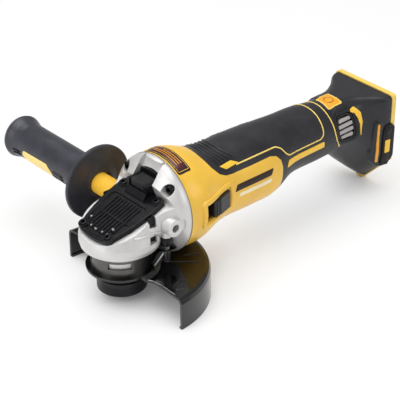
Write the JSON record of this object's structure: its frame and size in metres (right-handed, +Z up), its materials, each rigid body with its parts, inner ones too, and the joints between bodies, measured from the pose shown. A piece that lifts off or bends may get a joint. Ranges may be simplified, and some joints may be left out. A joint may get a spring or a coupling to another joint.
{
  "type": "cordless angle grinder",
  "caption": "Battery angle grinder with a turning wheel guard, bevel-geared spindle, slide switch, spindle lock and screw-in side handle; no battery pack fitted.",
  "frame": {"origin": "on the spindle axis at the wheel seat, the lower face of the inner flange", "axes": "+Z up the spindle, +X towards the battery foot, +Y towards the fitted side handle"},
  "size_m": [0.3224, 0.2393, 0.1124],
  "materials": {
    "guard_black": "gloss black powder coat",
    "guard_steel": "dark satin steel",
    "lever_steel": "bright plated",
    "steel": "ground",
    "spring_steel": "drawn wire",
    "flange_steel": "dark phosphated",
    "nut_steel": "black oxide",
    "gear_steel": "cut and ground",
    "case_aluminium": "satin die cast",
    "cover_black": "satin",
    "black_screw": "black oxide",
    "button_grey": "satin",
    "bearing_steel": "ground",
    "retainer_steel": "stamped",
    "fan_plastic": "matt",
    "lamination_steel": "stacked laminations",
    "copper": "enamelled wire",
    "circuit_board": "solder mask",
    "base_yellow": "satin",
    "terminal_black": "matt",
    "terminal_metal": "tin plated",
    "module_black": "potted",
    "lead_red": "silicone insulation",
    "slider_grey": "satin",
    "core_yellow": "satin",
    "handle_rubber": "fine textured",
    "grille_black": "satin",
    "housing_yellow": "satin",
    "grip_rubber": "fine textured"
  },
  "bodies": {
    "tool_body": {"lever_pin": "steel", "lever_spring": "spring_steel", "gear_case": "case_aluminium", "gear_case_cover": "cover_black", "cover_screws": "black_screw", "gear_case_screws": "black_screw", "lock_spring": "spring_steel", "spindle_bearing_lower": "bearing_steel", "spindle_bearing_upper": "bearing_steel", "bearing_retainer": "retainer_steel", "retainer_screws": "black_screw", "stator": "lamination_steel", "stator_windings": "copper", "sensor_board": "circuit_board", "fan_baffle": "fan_plastic", "motor_bearing_front": "bearing_steel", "motor_bearing_rear": "bearing_steel", "battery_base": "base_yellow", "terminal_block": "terminal_black", "terminal_blades": "terminal_metal", "control_module": "module_black", "switch_unit": "module_black", "battery_leads": "lead_red", "motor_leads": "lead_red", "switch_spring": "spring_steel", "housing_screws": "black_screw", "vent_grille_left": "grille_black", "vent_grille_right": "grille_black", "housing_left": "housing_yellow", "housing_right": "housing_yellow", "grip_rubber_left": "grip_rubber", "grip_rubber_right": "grip_rubber"},
    "guard_set": {"guard": "guard_black", "guard_collar": "guard_steel"},
    "guard_release": {"guard_lever": "lever_steel"},
    "spindle_lock": {"lock_button": "button_grey", "lock_pin": "steel"},
    "switch_slide_set": {"switch_slider": "slider_grey", "switch_rod": "fan_plastic"},
    "side_handle": {"side_handle_stud": "steel", "side_handle_core": "core_yellow", "side_handle_grip": "handle_rubber"},
    "rotor": {"motor_shaft": "steel", "rotor_core": "lamination_steel", "cooling_fan": "fan_plastic", "pinion_gear": "gear_steel"},
    "spindle_set": {"spindle": "steel", "crown_gear": "gear_steel", "inner_flange": "flange_steel", "clamp_nut": "nut_steel"}
  },
  "joints": [
    {"name": "motor_spin", "type": "hinge", "parent": "tool_body", "child": "rotor", "pos_m": [0, 0, 0.053], "axis": [1, 0, 0], "continuous": true},
    {"name": "spindle_spin", "type": "hinge", "parent": "tool_body", "child": "spindle_set", "pos_m": [0, 0, 0], "axis": [0, 0, 1], "continuous": true},
    {"name": "guard_turn", "type": "hinge", "parent": "tool_body", "child": "guard_set", "pos_m": [0, 0, 0.012], "axis": [0, 0, 1], "range_deg": [-90, 90]},
    {"name": "lever_press", "type": "hinge", "parent": "tool_body", "child": "guard_release", "pos_m": [0.024, -0.0286, 0.022], "axis": [0, 0, 1], "range_deg": [0, 12], "stiffness_Nm_per_rad": 0.05, "springref_deg": -11.46},
    {"name": "lock_press", "type": "slide", "parent": "tool_body", "child": "spindle_lock", "axis": [0, 0, -1], "range_m": [0, 0.0036], "stiffness_N_per_m": 700, "springref_m": -0.003, "deforming": ["lock_spring"]},
    {"name": "switch_slide", "type": "slide", "parent": "tool_body", "child": "switch_slide_set", "axis": [-1, 0, 0], "range_m": [0, 0.0085], "stiffness_N_per_m": 300, "springref_m": -0.004, "deforming": ["switch_spring"]},
    {"name": "handle_out", "type": "slide", "parent": "tool_body", "child": "side_handle", "axis": [0, 1, 0], "range_m": [0, 0.015]}
  ],
  "couplings": [
    {"joint": "spindle_spin", "follows": "motor_spin", "ratio": 0.36585}
  ]
}
